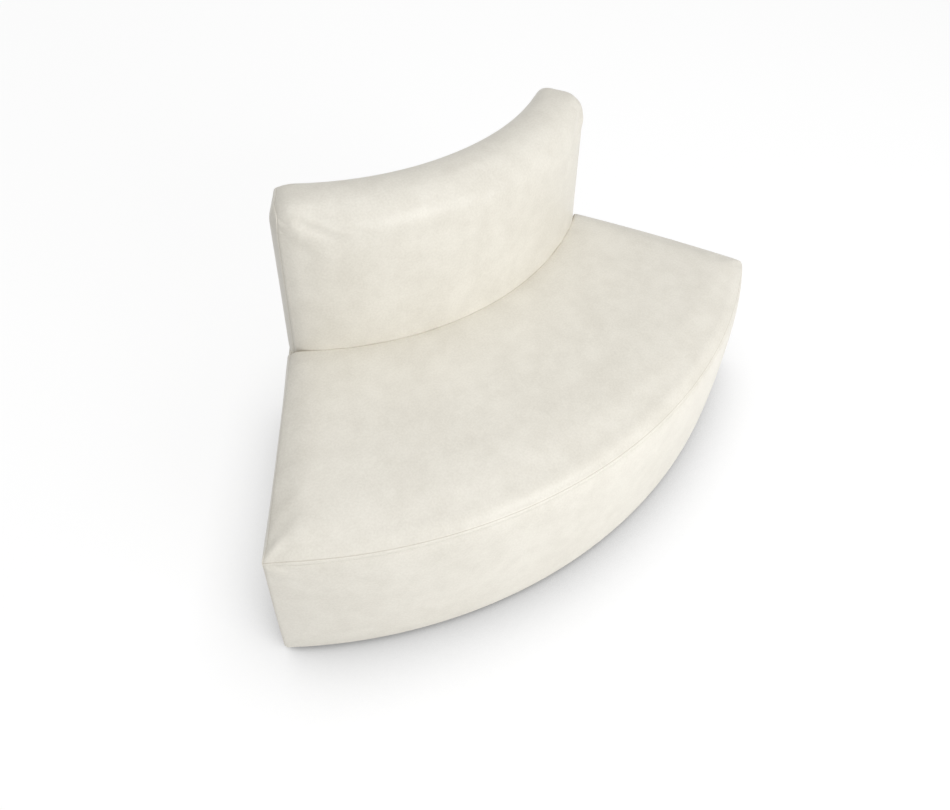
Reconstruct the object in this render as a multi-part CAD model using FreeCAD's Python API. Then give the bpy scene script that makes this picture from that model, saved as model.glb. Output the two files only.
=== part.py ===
"""Curved reception seat module: a sector-shaped upholstered base with a bullnose backrest on five glides."""
import FreeCAD, Part
import math
import os

# Plan of the module, in millimetres and degrees, measured from the axis of its curve
SECTOR_ANGLE = 72.0
JUNCTION_RADIUS = 826.0
BACKREST_DEPTH = 175.0
SEAM_RADIUS = 1348.0

# Heights from the floor
BASE_BOTTOM = 14.0
WEBBING_TOP = 332.0
DECK_TOP = 400.0
SEAM_HEIGHT = 416.0
BACKREST_TOP = 798.0

# Soft outline of the seat
SEAT_EDGE_ROUND = 22.0
SEAT_REAR_ROUND = 10.0
SEAT_CROWN_SLOPE = 4.5
SEAT_REAR_GAP = 6.0
FRONT_LEAN_TOP = 7.0
FRONT_LEAN_BOTTOM = 1.5
FRONT_BOTTOM_ROUND = 16.0
HEM_WIDTH = 30.0
CROWN_RUN_COUNT = 3
SWELL_RUN_COUNT = 2
ROUND_RUN_COUNT = 2
EDGE_RUN_COUNT = 4

# Soft outline of the backrest
BACKREST_RAKE = 6.0
BACKREST_FRONT_ROUND = 48.0
BACKREST_REAR_ROUND = 38.0

# Layers of the upholstery
COVER_THICKNESS = 1.5
END_PADDING = 8.0
REAR_PADDING = 6.0
FRONT_PADDING = 8.0
BACKREST_FOAM = 50.0
BACKREST_TOP_FOAM = 36.0
DUST_COVER_THICKNESS = 1.2
DUST_COVER_MARGIN = 12.0

# Timber and plywood
BENT_PANEL = 12.0
DECK_BOARD = 18.0
RISER_SETBACK = 2.0
END_PANEL = 15.0
RIB = 15.0
RIB_ANGLE = 18.0
RIB_MARGIN = 55.0
RIB_CUTOUT_ROUND = 30.0
RAIL_DEPTH = 28.0
RAIL_HEIGHT = 60.0
SKIN = 6.0
BACKREST_RAIL = 18.0
STUD = 18.0

# Elastic webbing
STRAP_COUNT = 11
STRAP_SPREAD = 62.0
STRAP_WIDTH = 60.0
STRAP_THICKNESS = 2.0
STRAP_END_GAP = 2.0

# Levelling glides, with their blocks and tee nuts
BLOCK_DEPTH = 70.0
BLOCK_WIDTH = 60.0
BLOCK_HEIGHT = 40.0
MIDDLE_BLOCK_WIDTH = 80.0
NOTCH_ROOM = 14.0
STEM_RADIUS = 4.0
STEM_CLEARANCE = 0.05
STEM_ABOVE_NUT = 11.0
STEM_TAIL = 6.0
COLLAR_ACROSS_FLATS = 14.0
PAD_ACROSS_FLATS = 32.0
PAD_HEIGHT = 10.0
NUT_ACROSS_FLATS = 13.0
NUT_HEIGHT = 6.5
STEM_HOLE_CLEARANCE = 0.6
GLIDE_HOLE_CLEARANCE = 4.0

# Coach screws that hold the backrest down on the deck
SCREW_ANGLES = (-27.0, -9.0, 9.0, 27.0)
SCREW_RADIUS = 4.0
SCREW_HOLE_CLEARANCE = 0.5
SCREW_HEAD_ACROSS_FLATS = 13.0
SCREW_HEAD = 5.3
SCREW_LENGTH = 32.0

# How far the cutting shapes run past what they cut
SWEEP_OVERRUN = 3.0
CUT_MARGIN = 100.0

# Values that follow from those above
REAR_RADIUS = JUNCTION_RADIUS - BACKREST_DEPTH
HALF = SECTOR_ANGLE / 2
SWEEP = HALF + SWEEP_OVERRUN
LOW = -CUT_MARGIN
HIGH = BACKREST_TOP + CUT_MARGIN
FAR = 2.5 * SEAM_RADIUS
PANEL_BOTTOM = BASE_BOTTOM + COVER_THICKNESS
DECK_BOTTOM = DECK_TOP - DECK_BOARD
RAIL_TOP = WEBBING_TOP - STRAP_THICKNESS
RAIL_BOTTOM = RAIL_TOP - RAIL_HEIGHT
SEAT_BACK_RADIUS = JUNCTION_RADIUS + SEAT_REAR_GAP
FRONT_PANEL_OUT = SEAM_RADIUS - COVER_THICKNESS - FRONT_PADDING
FRONT_PANEL_IN = FRONT_PANEL_OUT - BENT_PANEL
REAR_PANEL_IN = REAR_RADIUS + COVER_THICKNESS + REAR_PADDING
REAR_PANEL_OUT = REAR_PANEL_IN + BENT_PANEL
RISER_OUT = JUNCTION_RADIUS - RISER_SETBACK
RISER_IN = RISER_OUT - BENT_PANEL
MIDDLE_RADIUS = (REAR_RADIUS + SEAM_RADIUS) / 2
COVER_HALF = HALF - math.degrees(COVER_THICKNESS / MIDDLE_RADIUS)
PADDED_HALF = COVER_HALF - math.degrees(END_PADDING / MIDDLE_RADIUS)
BLOCK_TOP = PANEL_BOTTOM + BLOCK_HEIGHT


def sin(degrees):
    return math.sin(math.radians(degrees))


def cos(degrees):
    return math.cos(math.radians(degrees))


def tan(degrees):
    return math.tan(math.radians(degrees))


# The front band is one arc from the seam down to the bottom round
FRONT_ARC_DROP = SEAM_HEIGHT - BASE_BOTTOM - FRONT_BOTTOM_ROUND * (1 - sin(FRONT_LEAN_BOTTOM))
FRONT_ARC_RADIUS = FRONT_ARC_DROP / (sin(FRONT_LEAN_TOP) + sin(FRONT_LEAN_BOTTOM))
FRONT_ARC_CENTRE = SEAM_RADIUS - FRONT_ARC_RADIUS * cos(FRONT_LEAN_TOP)
FRONT_MAX = FRONT_ARC_CENTRE + FRONT_ARC_RADIUS

# The origin lies on the floor in the middle of the module's box
AXIS_Y = (FRONT_MAX + REAR_RADIUS * cos(HALF)) / 2
AXIS = FreeCAD.Vector(0, AXIS_Y, 0)
UP = FreeCAD.Vector(0, 0, 1)


def section(radius, height):
    """A point of the middle cross-section, by its distance from the curve's axis and its height."""
    return FreeCAD.Vector(0, AXIS_Y - radius, height)


def at_angle(radius, angle, height=0.0):
    return FreeCAD.Vector(radius * sin(angle), AXIS_Y - radius * cos(angle), height)


def round_point(centre, radius, angle):
    return (centre[0] + radius * cos(angle), centre[1] + radius * sin(angle))


def arc(centre, radius, start, end):
    """An arc of the cross-section, by its centre, its radius and its end angles."""
    points = [round_point(centre, radius, angle) for angle in (start, (start + end) / 2, end)]
    return Part.Arc(*[section(*point) for point in points]).toShape()


def bow(centre, radius, start, end, runs):
    """An arc of the cross-section drawn as short straight runs."""
    angles = [start + (end - start) * k / runs for k in range(runs + 1)]
    points = [round_point(centre, radius, angle) for angle in angles]
    return [line(first, second) for first, second in zip(points, points[1:])]


def line(start, end):
    return Part.makeLine(section(*start), section(*end))


def polygon(*points):
    corners = [section(*point) for point in points]
    return Part.Face(Part.makePolygon(corners + corners[:1]))


def rectangle(inner, outer, bottom, top):
    return polygon((inner, bottom), (outer, bottom), (outer, top), (inner, top))


def rounded_rectangle(inner, outer, bottom, top, corner):
    left, right = inner + corner, outer - corner
    low, high = bottom + corner, top - corner
    edges = [line((left, bottom), (right, bottom)), arc((right, low), corner, -90, 0),
             line((outer, low), (outer, high)), arc((right, high), corner, 0, 90),
             line((right, top), (left, top)), arc((left, high), corner, 90, 180),
             line((inner, high), (inner, low)), arc((left, low), corner, 180, 270)]
    return Part.Face(Part.Wire(edges))


def sweep(face, start=-SWEEP, end=SWEEP):
    """The cross-section face carried round the curve's axis between two angles."""
    turned = face.copy()
    turned.rotate(AXIS, UP, start)
    return turned.revolve(AXIS, UP, end - start)


def wedge(half, inset):
    """The space between two radial planes, each moved inwards by the inset."""
    apex_y = AXIS_Y - inset / sin(half)
    corners = [FreeCAD.Vector(0, apex_y, LOW)]
    for side in (-1, 1):
        corners.append(FreeCAD.Vector(side * FAR * sin(half), apex_y - FAR * cos(half), LOW))
    return Part.Face(Part.makePolygon(corners + corners[:1])).extrude(UP * (HIGH - LOW))


def soft_layer(face, half):
    """A soft layer between two radial planes."""
    return sweep(face, -half, half)


def soft_ends(face, outer_half, inner_half):
    """The left and the right end of a soft layer."""
    return [sweep(face, -outer_half, -inner_half), sweep(face, inner_half, outer_half)]


def between_ends(face, inset=0.0):
    """A rigid piece that runs from one end of the padded frame to the other."""
    return sweep(face).common(wedge(PADDED_HALF, inset))


def at_ends(face, outer_inset, inner_inset):
    """The left and the right slab of a cross-section, parallel to the frame's end planes."""
    slabs = between_ends(face, outer_inset).cut(wedge(PADDED_HALF, inner_inset))
    return sorted(slabs.Solids, key=lambda solid: solid.CenterOfMass.x)


def radial_plate(face, angle, thickness):
    """A flat plate on the radial plane at an angle, cut from the swept cross-section."""
    slab = Part.makeBox(thickness, FAR, HIGH - LOW, FreeCAD.Vector(-thickness / 2, AXIS_Y - FAR, LOW))
    slab.rotate(AXIS, UP, angle)
    return sweep(face, angle - SWEEP_OVERRUN, angle + SWEEP_OVERRUN).common(slab)


def end_point(side, along, inset, height=0.0):
    """A point beside the frame's end plane: its distance along that plane and in from it."""
    point = at_angle(along, side * PADDED_HALF, height)
    inward = FreeCAD.Vector(-side * cos(PADDED_HALF), -sin(PADDED_HALF), 0)
    return point + inward * inset


def cylinder(base, radius, bottom, top):
    return Part.makeCylinder(radius, top - bottom, FreeCAD.Vector(base.x, base.y, bottom))


def hexagon(base, across_flats, bottom, top):
    radius = across_flats / 2 / cos(30)
    corners = [FreeCAD.Vector(base.x + radius * cos(60 * k), base.y + radius * sin(60 * k), bottom)
               for k in range(7)]
    return Part.Face(Part.makePolygon(corners)).extrude(UP * (top - bottom))


def all_cut(shape, tools):
    return shape.cut(Part.makeCompound(tools))


def one(shape):
    """The single solid of a boolean's result."""
    if len(shape.Solids) != 1:
        raise ValueError("expected one solid, found %d" % len(shape.Solids))
    return shape.Solids[0]


def seat_section(inset=0.0):
    """Outline of the seat: crowned top, round front edge, swelling front band and a step for the deck."""
    edge_centre = (SEAM_RADIUS - SEAT_EDGE_ROUND * cos(FRONT_LEAN_TOP),
                   SEAM_HEIGHT - SEAT_EDGE_ROUND * sin(FRONT_LEAN_TOP))
    front_centre = (FRONT_ARC_CENTRE, SEAM_HEIGHT - FRONT_ARC_RADIUS * sin(FRONT_LEAN_TOP))
    front_foot = round_point(front_centre, FRONT_ARC_RADIUS, -FRONT_LEAN_BOTTOM)
    bottom_centre = (front_foot[0] - FRONT_BOTTOM_ROUND * cos(FRONT_LEAN_BOTTOM),
                     BASE_BOTTOM + FRONT_BOTTOM_ROUND)
    rise = (SEAT_EDGE_ROUND - SEAT_REAR_ROUND) * cos(SEAT_CROWN_SLOPE)
    rear_centre = (SEAT_BACK_RADIUS + SEAT_REAR_ROUND, edge_centre[1] + rise)
    crown_front = round_point(edge_centre, SEAT_EDGE_ROUND, 90 - SEAT_CROWN_SLOPE)
    crown_rear = round_point(rear_centre, SEAT_REAR_ROUND, 90 + SEAT_CROWN_SLOPE)
    crown_radius = (crown_front[0] - crown_rear[0]) / 2 / sin(SEAT_CROWN_SLOPE)
    crown_centre = ((crown_front[0] + crown_rear[0]) / 2,
                    crown_front[1] - crown_radius * cos(SEAT_CROWN_SLOPE))
    back, rear = SEAT_BACK_RADIUS + inset, REAR_RADIUS + inset
    floor, deck = BASE_BOTTOM + inset, DECK_TOP - inset
    edges = [line((rear, floor), (bottom_centre[0], floor))]
    edges += bow(bottom_centre, FRONT_BOTTOM_ROUND - inset, -90, -FRONT_LEAN_BOTTOM, ROUND_RUN_COUNT)
    edges += bow(front_centre, FRONT_ARC_RADIUS - inset, -FRONT_LEAN_BOTTOM, FRONT_LEAN_TOP, SWELL_RUN_COUNT)
    edges += bow(edge_centre, SEAT_EDGE_ROUND - inset, FRONT_LEAN_TOP, 90 - SEAT_CROWN_SLOPE, EDGE_RUN_COUNT)
    edges += bow(crown_centre, crown_radius - inset, 90 - SEAT_CROWN_SLOPE, 90 + SEAT_CROWN_SLOPE, CROWN_RUN_COUNT)
    edges += bow(rear_centre, SEAT_REAR_ROUND - inset, 90 + SEAT_CROWN_SLOPE, 180, ROUND_RUN_COUNT)
    edges += [line((back, rear_centre[1]), (back, deck)),
              line((back, deck), (rear, deck)),
              line((rear, deck), (rear, floor))]
    return Part.Face(Part.Wire(edges))


# The backrest's front leans back, so its foot stands a little ahead of the junction
BACKREST_FOOT = JUNCTION_RADIUS + (SEAM_HEIGHT - DECK_TOP) * tan(BACKREST_RAKE)


# The rear round of the backrest's top starts at this height
BACKREST_REAR_SEAM = BACKREST_TOP - BACKREST_REAR_ROUND


def backrest_section(inset=0.0):
    """Outline of the backrest: leaning front and a top that rolls over from front to rear."""
    nose_height = BACKREST_TOP - BACKREST_FRONT_ROUND
    nose_start = nose_height + BACKREST_FRONT_ROUND * sin(BACKREST_RAKE)
    front_top = BACKREST_FOOT - (nose_start - DECK_TOP) * tan(BACKREST_RAKE)
    nose_centre = (front_top - BACKREST_FRONT_ROUND * cos(BACKREST_RAKE), nose_height)
    tail_centre = (REAR_RADIUS + BACKREST_REAR_ROUND, BACKREST_REAR_SEAM)
    foot = BACKREST_FOOT - inset / cos(BACKREST_RAKE)
    rear = REAR_RADIUS + inset
    top = BACKREST_TOP - inset
    edges = [line((rear, DECK_TOP), (foot, DECK_TOP)),
             line((foot, DECK_TOP), round_point(nose_centre, BACKREST_FRONT_ROUND - inset, BACKREST_RAKE))]
    edges += bow(nose_centre, BACKREST_FRONT_ROUND - inset, BACKREST_RAKE, 90, EDGE_RUN_COUNT)
    edges += [line((nose_centre[0], top), (tail_centre[0], top))]
    edges += bow(tail_centre, BACKREST_REAR_ROUND - inset, 90, 180, EDGE_RUN_COUNT)
    edges += [line((rear, BACKREST_REAR_SEAM), (rear, DECK_TOP))]
    return Part.Face(Part.Wire(edges))


def named_pair(name, solids):
    return {name + "_left": solids[0], name + "_right": solids[1]}


def glide_places():
    """Name and position of each glide: two rear corners, three along the front."""
    inset = END_PANEL + BLOCK_WIDTH / 2
    front = FRONT_PANEL_IN - BLOCK_DEPTH / 2
    rear = REAR_PANEL_OUT + BLOCK_DEPTH / 2
    return {"front_left": end_point(-1, front, inset),
            "front_middle": at_angle(front, 0),
            "front_right": end_point(1, front, inset),
            "rear_left": end_point(-1, rear, inset),
            "rear_right": end_point(1, rear, inset)}


def middle_block():
    face = rectangle(FRONT_PANEL_IN - BLOCK_DEPTH, FRONT_PANEL_IN, PANEL_BOTTOM, BLOCK_TOP)
    return radial_plate(face, 0, MIDDLE_BLOCK_WIDTH)


def carcass():
    """Plywood base: two bent walls, a bent riser, flat ends, ribs, the rear deck and the webbing rails."""
    pieces = {}
    pieces["base_front_panel"] = between_ends(
        rectangle(FRONT_PANEL_IN, FRONT_PANEL_OUT, PANEL_BOTTOM, WEBBING_TOP), END_PANEL)
    pieces["base_rear_panel"] = between_ends(
        rectangle(REAR_PANEL_IN, REAR_PANEL_OUT, PANEL_BOTTOM, DECK_BOTTOM), END_PANEL)
    pieces["base_riser"] = between_ends(
        rectangle(RISER_IN, RISER_OUT, PANEL_BOTTOM, DECK_BOTTOM), END_PANEL)
    end_outline = polygon((REAR_PANEL_IN, PANEL_BOTTOM), (FRONT_PANEL_OUT, PANEL_BOTTOM),
                          (FRONT_PANEL_OUT, WEBBING_TOP), (RISER_OUT, WEBBING_TOP),
                          (RISER_OUT, DECK_BOTTOM), (REAR_PANEL_IN, DECK_BOTTOM))
    pieces.update(named_pair("base_end", at_ends(end_outline, 0.0, END_PANEL)))
    pieces["webbing_rail_front"] = between_ends(
        rectangle(FRONT_PANEL_IN - RAIL_DEPTH, FRONT_PANEL_IN, RAIL_BOTTOM, RAIL_TOP), END_PANEL)
    pieces["webbing_rail_rear"] = between_ends(
        rectangle(RISER_OUT, RISER_OUT + RAIL_DEPTH, RAIL_BOTTOM, RAIL_TOP), END_PANEL)
    deck = between_ends(rectangle(REAR_PANEL_IN, RISER_OUT, DECK_BOTTOM, DECK_TOP))
    holes = [cylinder(place, SCREW_RADIUS + SCREW_HOLE_CLEARANCE, LOW, HIGH) for place in screw_places()]
    pieces["backrest_deck"] = all_cut(deck, holes)
    return pieces


def rib_with_cutout(inner, outer, top, angle):
    plate = radial_plate(rectangle(inner, outer, PANEL_BOTTOM, top), angle, RIB)
    opening = rounded_rectangle(inner + RIB_MARGIN, outer - RIB_MARGIN, PANEL_BOTTOM + RIB_MARGIN,
                                top - RIB_MARGIN, RIB_CUTOUT_ROUND)
    opening.translate(FreeCAD.Vector(-RIB, 0, 0))
    cutter = opening.extrude(FreeCAD.Vector(2 * RIB, 0, 0))
    cutter.rotate(AXIS, UP, angle)
    return plate.cut(cutter)


def ribs():
    """Radial ribs with lightening cut-outs, in front of the riser and behind it."""
    pieces = {}
    block_notch = rectangle(FRONT_PANEL_IN - BLOCK_DEPTH, FRONT_PANEL_IN, PANEL_BOTTOM, BLOCK_TOP + NOTCH_ROOM)
    for name, angle in (("left", -RIB_ANGLE), ("centre", 0.0), ("right", RIB_ANGLE)):
        rib = rib_with_cutout(RISER_OUT, FRONT_PANEL_IN, RAIL_BOTTOM, angle)
        if name == "centre":
            rib = rib.cut(radial_plate(block_notch, 0, MIDDLE_BLOCK_WIDTH))
        pieces["seat_rib_" + name] = rib
        pieces["deck_rib_" + name] = radial_plate(
            rectangle(REAR_PANEL_OUT, RISER_IN, PANEL_BOTTOM, DECK_BOTTOM), angle, RIB)
    return pieces


def foot_blocks():
    """Hardwood blocks in the corners and behind the front's middle, bored for the glides."""
    front = rectangle(FRONT_PANEL_IN - BLOCK_DEPTH, FRONT_PANEL_IN, PANEL_BOTTOM, BLOCK_TOP)
    rear = rectangle(REAR_PANEL_OUT, REAR_PANEL_OUT + BLOCK_DEPTH, PANEL_BOTTOM, BLOCK_TOP)
    blocks = [middle_block()]
    for face in (front, rear):
        blocks += at_ends(face, END_PANEL, END_PANEL + BLOCK_WIDTH)
    bores = []
    for place in glide_places().values():
        bores.append(cylinder(place, STEM_RADIUS + STEM_HOLE_CLEARANCE, LOW, HIGH))
        bores.append(hexagon(place, NUT_ACROSS_FLATS, BLOCK_TOP - NUT_HEIGHT, HIGH))
    return [one(all_cut(block, bores)) for block in blocks]


def glides():
    """Screw glides: a swivel pad on the floor, and a stem whose hex collar stops on the block."""
    pieces = {}
    nuts = []
    for name, place in glide_places().items():
        bore = cylinder(place, STEM_RADIUS + STEM_CLEARANCE, PAD_HEIGHT - STEM_TAIL, HIGH)
        pieces["glide_pad_" + name] = hexagon(place, PAD_ACROSS_FLATS, 0.0, PAD_HEIGHT).cut(bore)
        stem = cylinder(place, STEM_RADIUS, PAD_HEIGHT - STEM_TAIL, BLOCK_TOP + STEM_ABOVE_NUT)
        pieces["glide_stem_" + name] = stem.fuse(
            hexagon(place, COLLAR_ACROSS_FLATS, PAD_HEIGHT, PANEL_BOTTOM))
        nuts.append(hexagon(place, NUT_ACROSS_FLATS, BLOCK_TOP - NUT_HEIGHT, BLOCK_TOP).cut(bore))
    pieces["glide_nuts"] = Part.makeCompound(nuts)
    return pieces


def webbing():
    """Elastic straps fanned between the webbing rails."""
    straps = []
    inner = RISER_OUT + STRAP_END_GAP
    length = FRONT_PANEL_IN - STRAP_END_GAP - inner
    for k in range(STRAP_COUNT):
        angle = STRAP_SPREAD * (k / (STRAP_COUNT - 1) - 0.5)
        corner = FreeCAD.Vector(-STRAP_WIDTH / 2, AXIS_Y - inner - length, RAIL_TOP)
        strap = Part.makeBox(STRAP_WIDTH, length, STRAP_THICKNESS, corner)
        strap.rotate(AXIS, UP, angle)
        straps.append(strap)
    return {"webbing_straps": Part.makeCompound(straps)}


def seat_upholstery():
    """Foam, padding and the sewn cover panels of the base."""
    pieces = {}
    outer, inner = seat_section(), seat_section(COVER_THICKNESS)
    band = outer.cut(inner)
    pieces["seat_foam"] = soft_layer(
        inner.common(rectangle(SEAT_BACK_RADIUS, FAR, WEBBING_TOP, HIGH)), PADDED_HALF)
    pieces["front_padding"] = soft_layer(
        inner.common(rectangle(FRONT_PANEL_OUT, FAR, LOW, WEBBING_TOP)), PADDED_HALF)
    pieces["rear_padding"] = soft_layer(
        rectangle(REAR_RADIUS + COVER_THICKNESS, REAR_PANEL_IN, PANEL_BOTTOM, DECK_TOP), PADDED_HALF)
    pieces.update(named_pair("end_padding", soft_ends(inner, COVER_HALF, PADDED_HALF)))
    pieces["seat_cover_top"] = soft_layer(
        band.common(rectangle(SEAT_BACK_RADIUS, FAR, SEAM_HEIGHT, HIGH)), COVER_HALF)
    hem_start = FRONT_PANEL_OUT - HEM_WIDTH
    pieces["seat_cover_front"] = soft_layer(
        band.common(rectangle(hem_start, FAR, LOW, SEAM_HEIGHT)), COVER_HALF)
    wall = REAR_RADIUS + COVER_THICKNESS
    hem_end = REAR_RADIUS + HEM_WIDTH
    pieces["seat_cover_rear"] = soft_layer(
        polygon((REAR_RADIUS, BASE_BOTTOM), (hem_end, BASE_BOTTOM), (hem_end, PANEL_BOTTOM),
                (wall, PANEL_BOTTOM), (wall, DECK_TOP), (REAR_RADIUS, DECK_TOP)), COVER_HALF)
    pieces.update(named_pair("seat_cover", soft_ends(outer, HALF, COVER_HALF)))
    return pieces


def dust_cover():
    """Thin cloth under the base, with a hole round each glide."""
    low = BASE_BOTTOM - DUST_COVER_THICKNESS
    face = rectangle(REAR_RADIUS + DUST_COVER_MARGIN, FRONT_PANEL_OUT - DUST_COVER_MARGIN, low, BASE_BOTTOM)
    hole = COLLAR_ACROSS_FLATS + 2 * GLIDE_HOLE_CLEARANCE
    holes = [hexagon(place, hole, LOW, HIGH) for place in glide_places().values()]
    return {"dust_cover": all_cut(between_ends(face), holes)}


# Frame of the backrest: its bent skins stand upright, and the foam in front of it makes the rake
FRAME_REAR = REAR_RADIUS + COVER_THICKNESS + REAR_PADDING
FRAME_TOP = BACKREST_TOP - COVER_THICKNESS - BACKREST_TOP_FOAM
FRAME_FRONT = (BACKREST_FOOT - (FRAME_TOP - DECK_TOP) * tan(BACKREST_RAKE)
               - COVER_THICKNESS - BACKREST_FOAM)
RAIL_REAR = FRAME_REAR + SKIN
RAIL_FRONT = FRAME_FRONT - SKIN
FRAME_BOTTOM_RAIL_TOP = DECK_TOP + BACKREST_RAIL
FRAME_TOP_RAIL_BOTTOM = FRAME_TOP - BACKREST_RAIL


def screw_places():
    return [at_angle((RAIL_REAR + RAIL_FRONT) / 2, angle) for angle in SCREW_ANGLES]


def backrest_frame():
    """Bent skins on two curved rails, with studs between them and flat ends."""
    pieces = {}
    pieces["backrest_rear_skin"] = between_ends(
        rectangle(FRAME_REAR, RAIL_REAR, DECK_TOP, FRAME_TOP), END_PANEL)
    pieces["backrest_front_skin"] = between_ends(
        rectangle(RAIL_FRONT, FRAME_FRONT, DECK_TOP, FRAME_TOP), END_PANEL)
    holes = [cylinder(place, SCREW_RADIUS, LOW, DECK_BOTTOM + SCREW_LENGTH) for place in screw_places()]
    bottom = between_ends(rectangle(RAIL_REAR, RAIL_FRONT, DECK_TOP, FRAME_BOTTOM_RAIL_TOP), END_PANEL)
    pieces["backrest_bottom_rail"] = all_cut(bottom, holes)
    pieces["backrest_top_rail"] = between_ends(
        rectangle(RAIL_REAR, RAIL_FRONT, FRAME_TOP_RAIL_BOTTOM, FRAME_TOP), END_PANEL)
    stud_face = rectangle(RAIL_REAR, RAIL_FRONT, FRAME_BOTTOM_RAIL_TOP, FRAME_TOP_RAIL_BOTTOM)
    for name, angle in (("left", -RIB_ANGLE), ("centre", 0.0), ("right", RIB_ANGLE)):
        pieces["backrest_stud_" + name] = radial_plate(stud_face, angle, STUD)
    frame_face = rectangle(FRAME_REAR, FRAME_FRONT, DECK_TOP, FRAME_TOP)
    pieces.update(named_pair("backrest_end", at_ends(frame_face, 0.0, END_PANEL)))
    return pieces


def backrest_upholstery():
    """Foam, padding and the sewn cover panels of the backrest."""
    pieces = {}
    outer, inner = backrest_section(), backrest_section(COVER_THICKNESS)
    band = outer.cut(inner)
    rear_strip = rectangle(REAR_RADIUS, FRAME_REAR, DECK_TOP, BACKREST_REAR_SEAM)
    frame_face = rectangle(FRAME_REAR, FRAME_FRONT, DECK_TOP, FRAME_TOP)
    pieces["backrest_foam"] = soft_layer(inner.cut(frame_face).cut(rear_strip), PADDED_HALF)
    pieces["backrest_rear_padding"] = soft_layer(inner.common(rear_strip), PADDED_HALF)
    pieces.update(named_pair("backrest_end_padding", soft_ends(inner, COVER_HALF, PADDED_HALF)))
    pieces["backrest_cover_rear"] = soft_layer(band.common(rear_strip), COVER_HALF)
    pieces["backrest_cover_front"] = soft_layer(band.cut(rear_strip), COVER_HALF)
    pieces.update(named_pair("backrest_cover", soft_ends(outer, HALF, COVER_HALF)))
    return pieces


def backrest_screws():
    """Coach screws up through the deck into the backrest's bottom rail."""
    screws = []
    for place in screw_places():
        shank = cylinder(place, SCREW_RADIUS, DECK_BOTTOM, DECK_BOTTOM + SCREW_LENGTH)
        head = hexagon(place, SCREW_HEAD_ACROSS_FLATS, DECK_BOTTOM - SCREW_HEAD, DECK_BOTTOM)
        screws.append(shank.fuse(head))
    return {"backrest_screws": Part.makeCompound(screws)}


def main():
    os.makedirs("parts", exist_ok=True)
    pieces = {}
    for build in (carcass, ribs, glides, webbing, seat_upholstery, dust_cover,
                  backrest_frame, backrest_upholstery, backrest_screws):
        pieces.update(build())
    pieces["foot_blocks"] = Part.makeCompound(foot_blocks())
    groups = ("foot_blocks", "webbing_straps", "glide_nuts", "backrest_screws")
    for name, shape in pieces.items():
        solid = shape if name in groups else one(shape)
        solid.exportStep("parts/" + name + ".step")
    print(len(pieces), "pieces written")


if __name__ == "__main__":
    main()
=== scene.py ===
"""Looks of the curved seat module: padded covers, seams, stitches, finishes, studio and camera."""
import math

import bmesh
import bpy
import numpy as np
from mathutils import Matrix, Vector, noise
from mathutils.bvhtree import BVHTree


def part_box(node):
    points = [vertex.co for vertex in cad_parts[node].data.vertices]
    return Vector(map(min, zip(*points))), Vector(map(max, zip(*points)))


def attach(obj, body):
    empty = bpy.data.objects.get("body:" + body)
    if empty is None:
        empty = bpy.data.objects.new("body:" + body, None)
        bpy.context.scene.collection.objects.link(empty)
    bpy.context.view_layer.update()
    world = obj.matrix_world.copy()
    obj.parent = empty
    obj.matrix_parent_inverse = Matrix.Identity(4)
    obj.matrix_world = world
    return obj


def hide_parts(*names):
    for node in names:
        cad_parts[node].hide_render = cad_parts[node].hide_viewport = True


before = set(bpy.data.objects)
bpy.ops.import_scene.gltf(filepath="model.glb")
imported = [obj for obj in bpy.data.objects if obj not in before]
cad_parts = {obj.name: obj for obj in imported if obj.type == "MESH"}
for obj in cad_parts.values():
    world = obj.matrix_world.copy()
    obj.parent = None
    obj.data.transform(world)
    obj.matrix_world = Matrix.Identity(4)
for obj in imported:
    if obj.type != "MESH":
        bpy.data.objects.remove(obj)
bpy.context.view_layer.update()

bl_info = {
    "name": "Curved seat module",
    "version": (1, 0, 0),
    "blender": (4, 5, 0),
    "location": "View3D > Sidebar > Seat module",
    "description": "Padded covers, stitching, finishes and studio of a curved upholstered seat module",
    "category": "Object",
}

MM = 0.001
BASE = "base"
LEATHERETTE = "leatherette_finish"
THREAD = "thread_finish"

# Plan and heights that the covers share with the solids, in millimetres and degrees
HALF_ANGLE = 36.0
REAR_RADIUS = 651.0
SEAM_RADIUS = 1348.0
BASE_BOTTOM = 14.0
DECK_TOP = 400.0
AXIS_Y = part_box("seat_cover_rear")[1].y / MM + REAR_RADIUS * math.cos(math.radians(HALF_ANGLE))
SEAT_BACK_RADIUS = 821.0
END_SPREAD = 3.0
SPREAD_POWER = 8


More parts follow.
